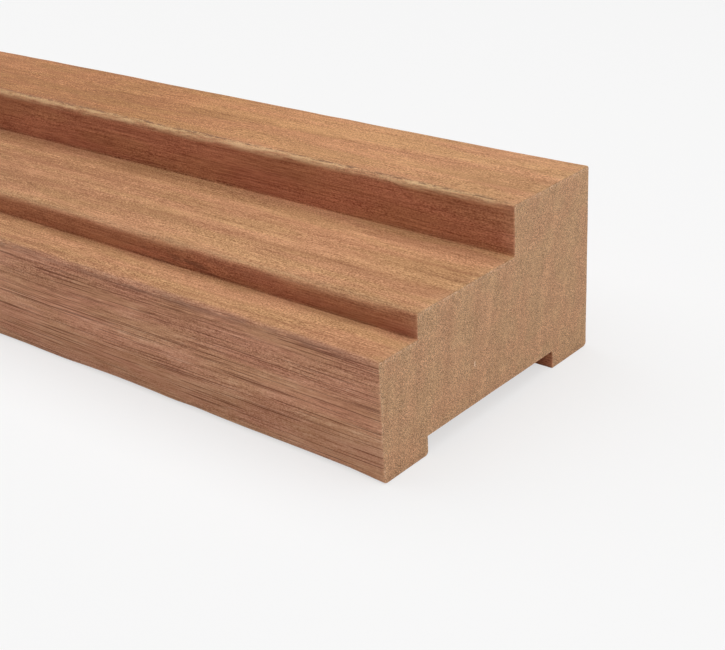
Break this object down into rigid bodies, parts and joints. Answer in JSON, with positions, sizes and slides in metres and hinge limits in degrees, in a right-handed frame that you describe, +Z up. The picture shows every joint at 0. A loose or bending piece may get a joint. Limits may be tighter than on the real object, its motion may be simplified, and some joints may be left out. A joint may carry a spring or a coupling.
{
  "type": "window frame profile",
  "caption": "Length of moulded hardwood frame stock: a deep sash rebate and a shallow outer step on top, a wide groove between two feet underneath, rounded arrises.",
  "frame": {"origin": "middle of the length and width, on the plane under the two feet", "axes": "+X along the grain, +Y towards the room-side face, +Z up towards the sash rebate"},
  "size_m": [2.15, 0.114, 0.067],
  "materials": {
    "hardwood": "planed and unfinished"
  },
  "bodies": {
    "root": {"frame_profile": "hardwood"}
  },
  "joints": []
}
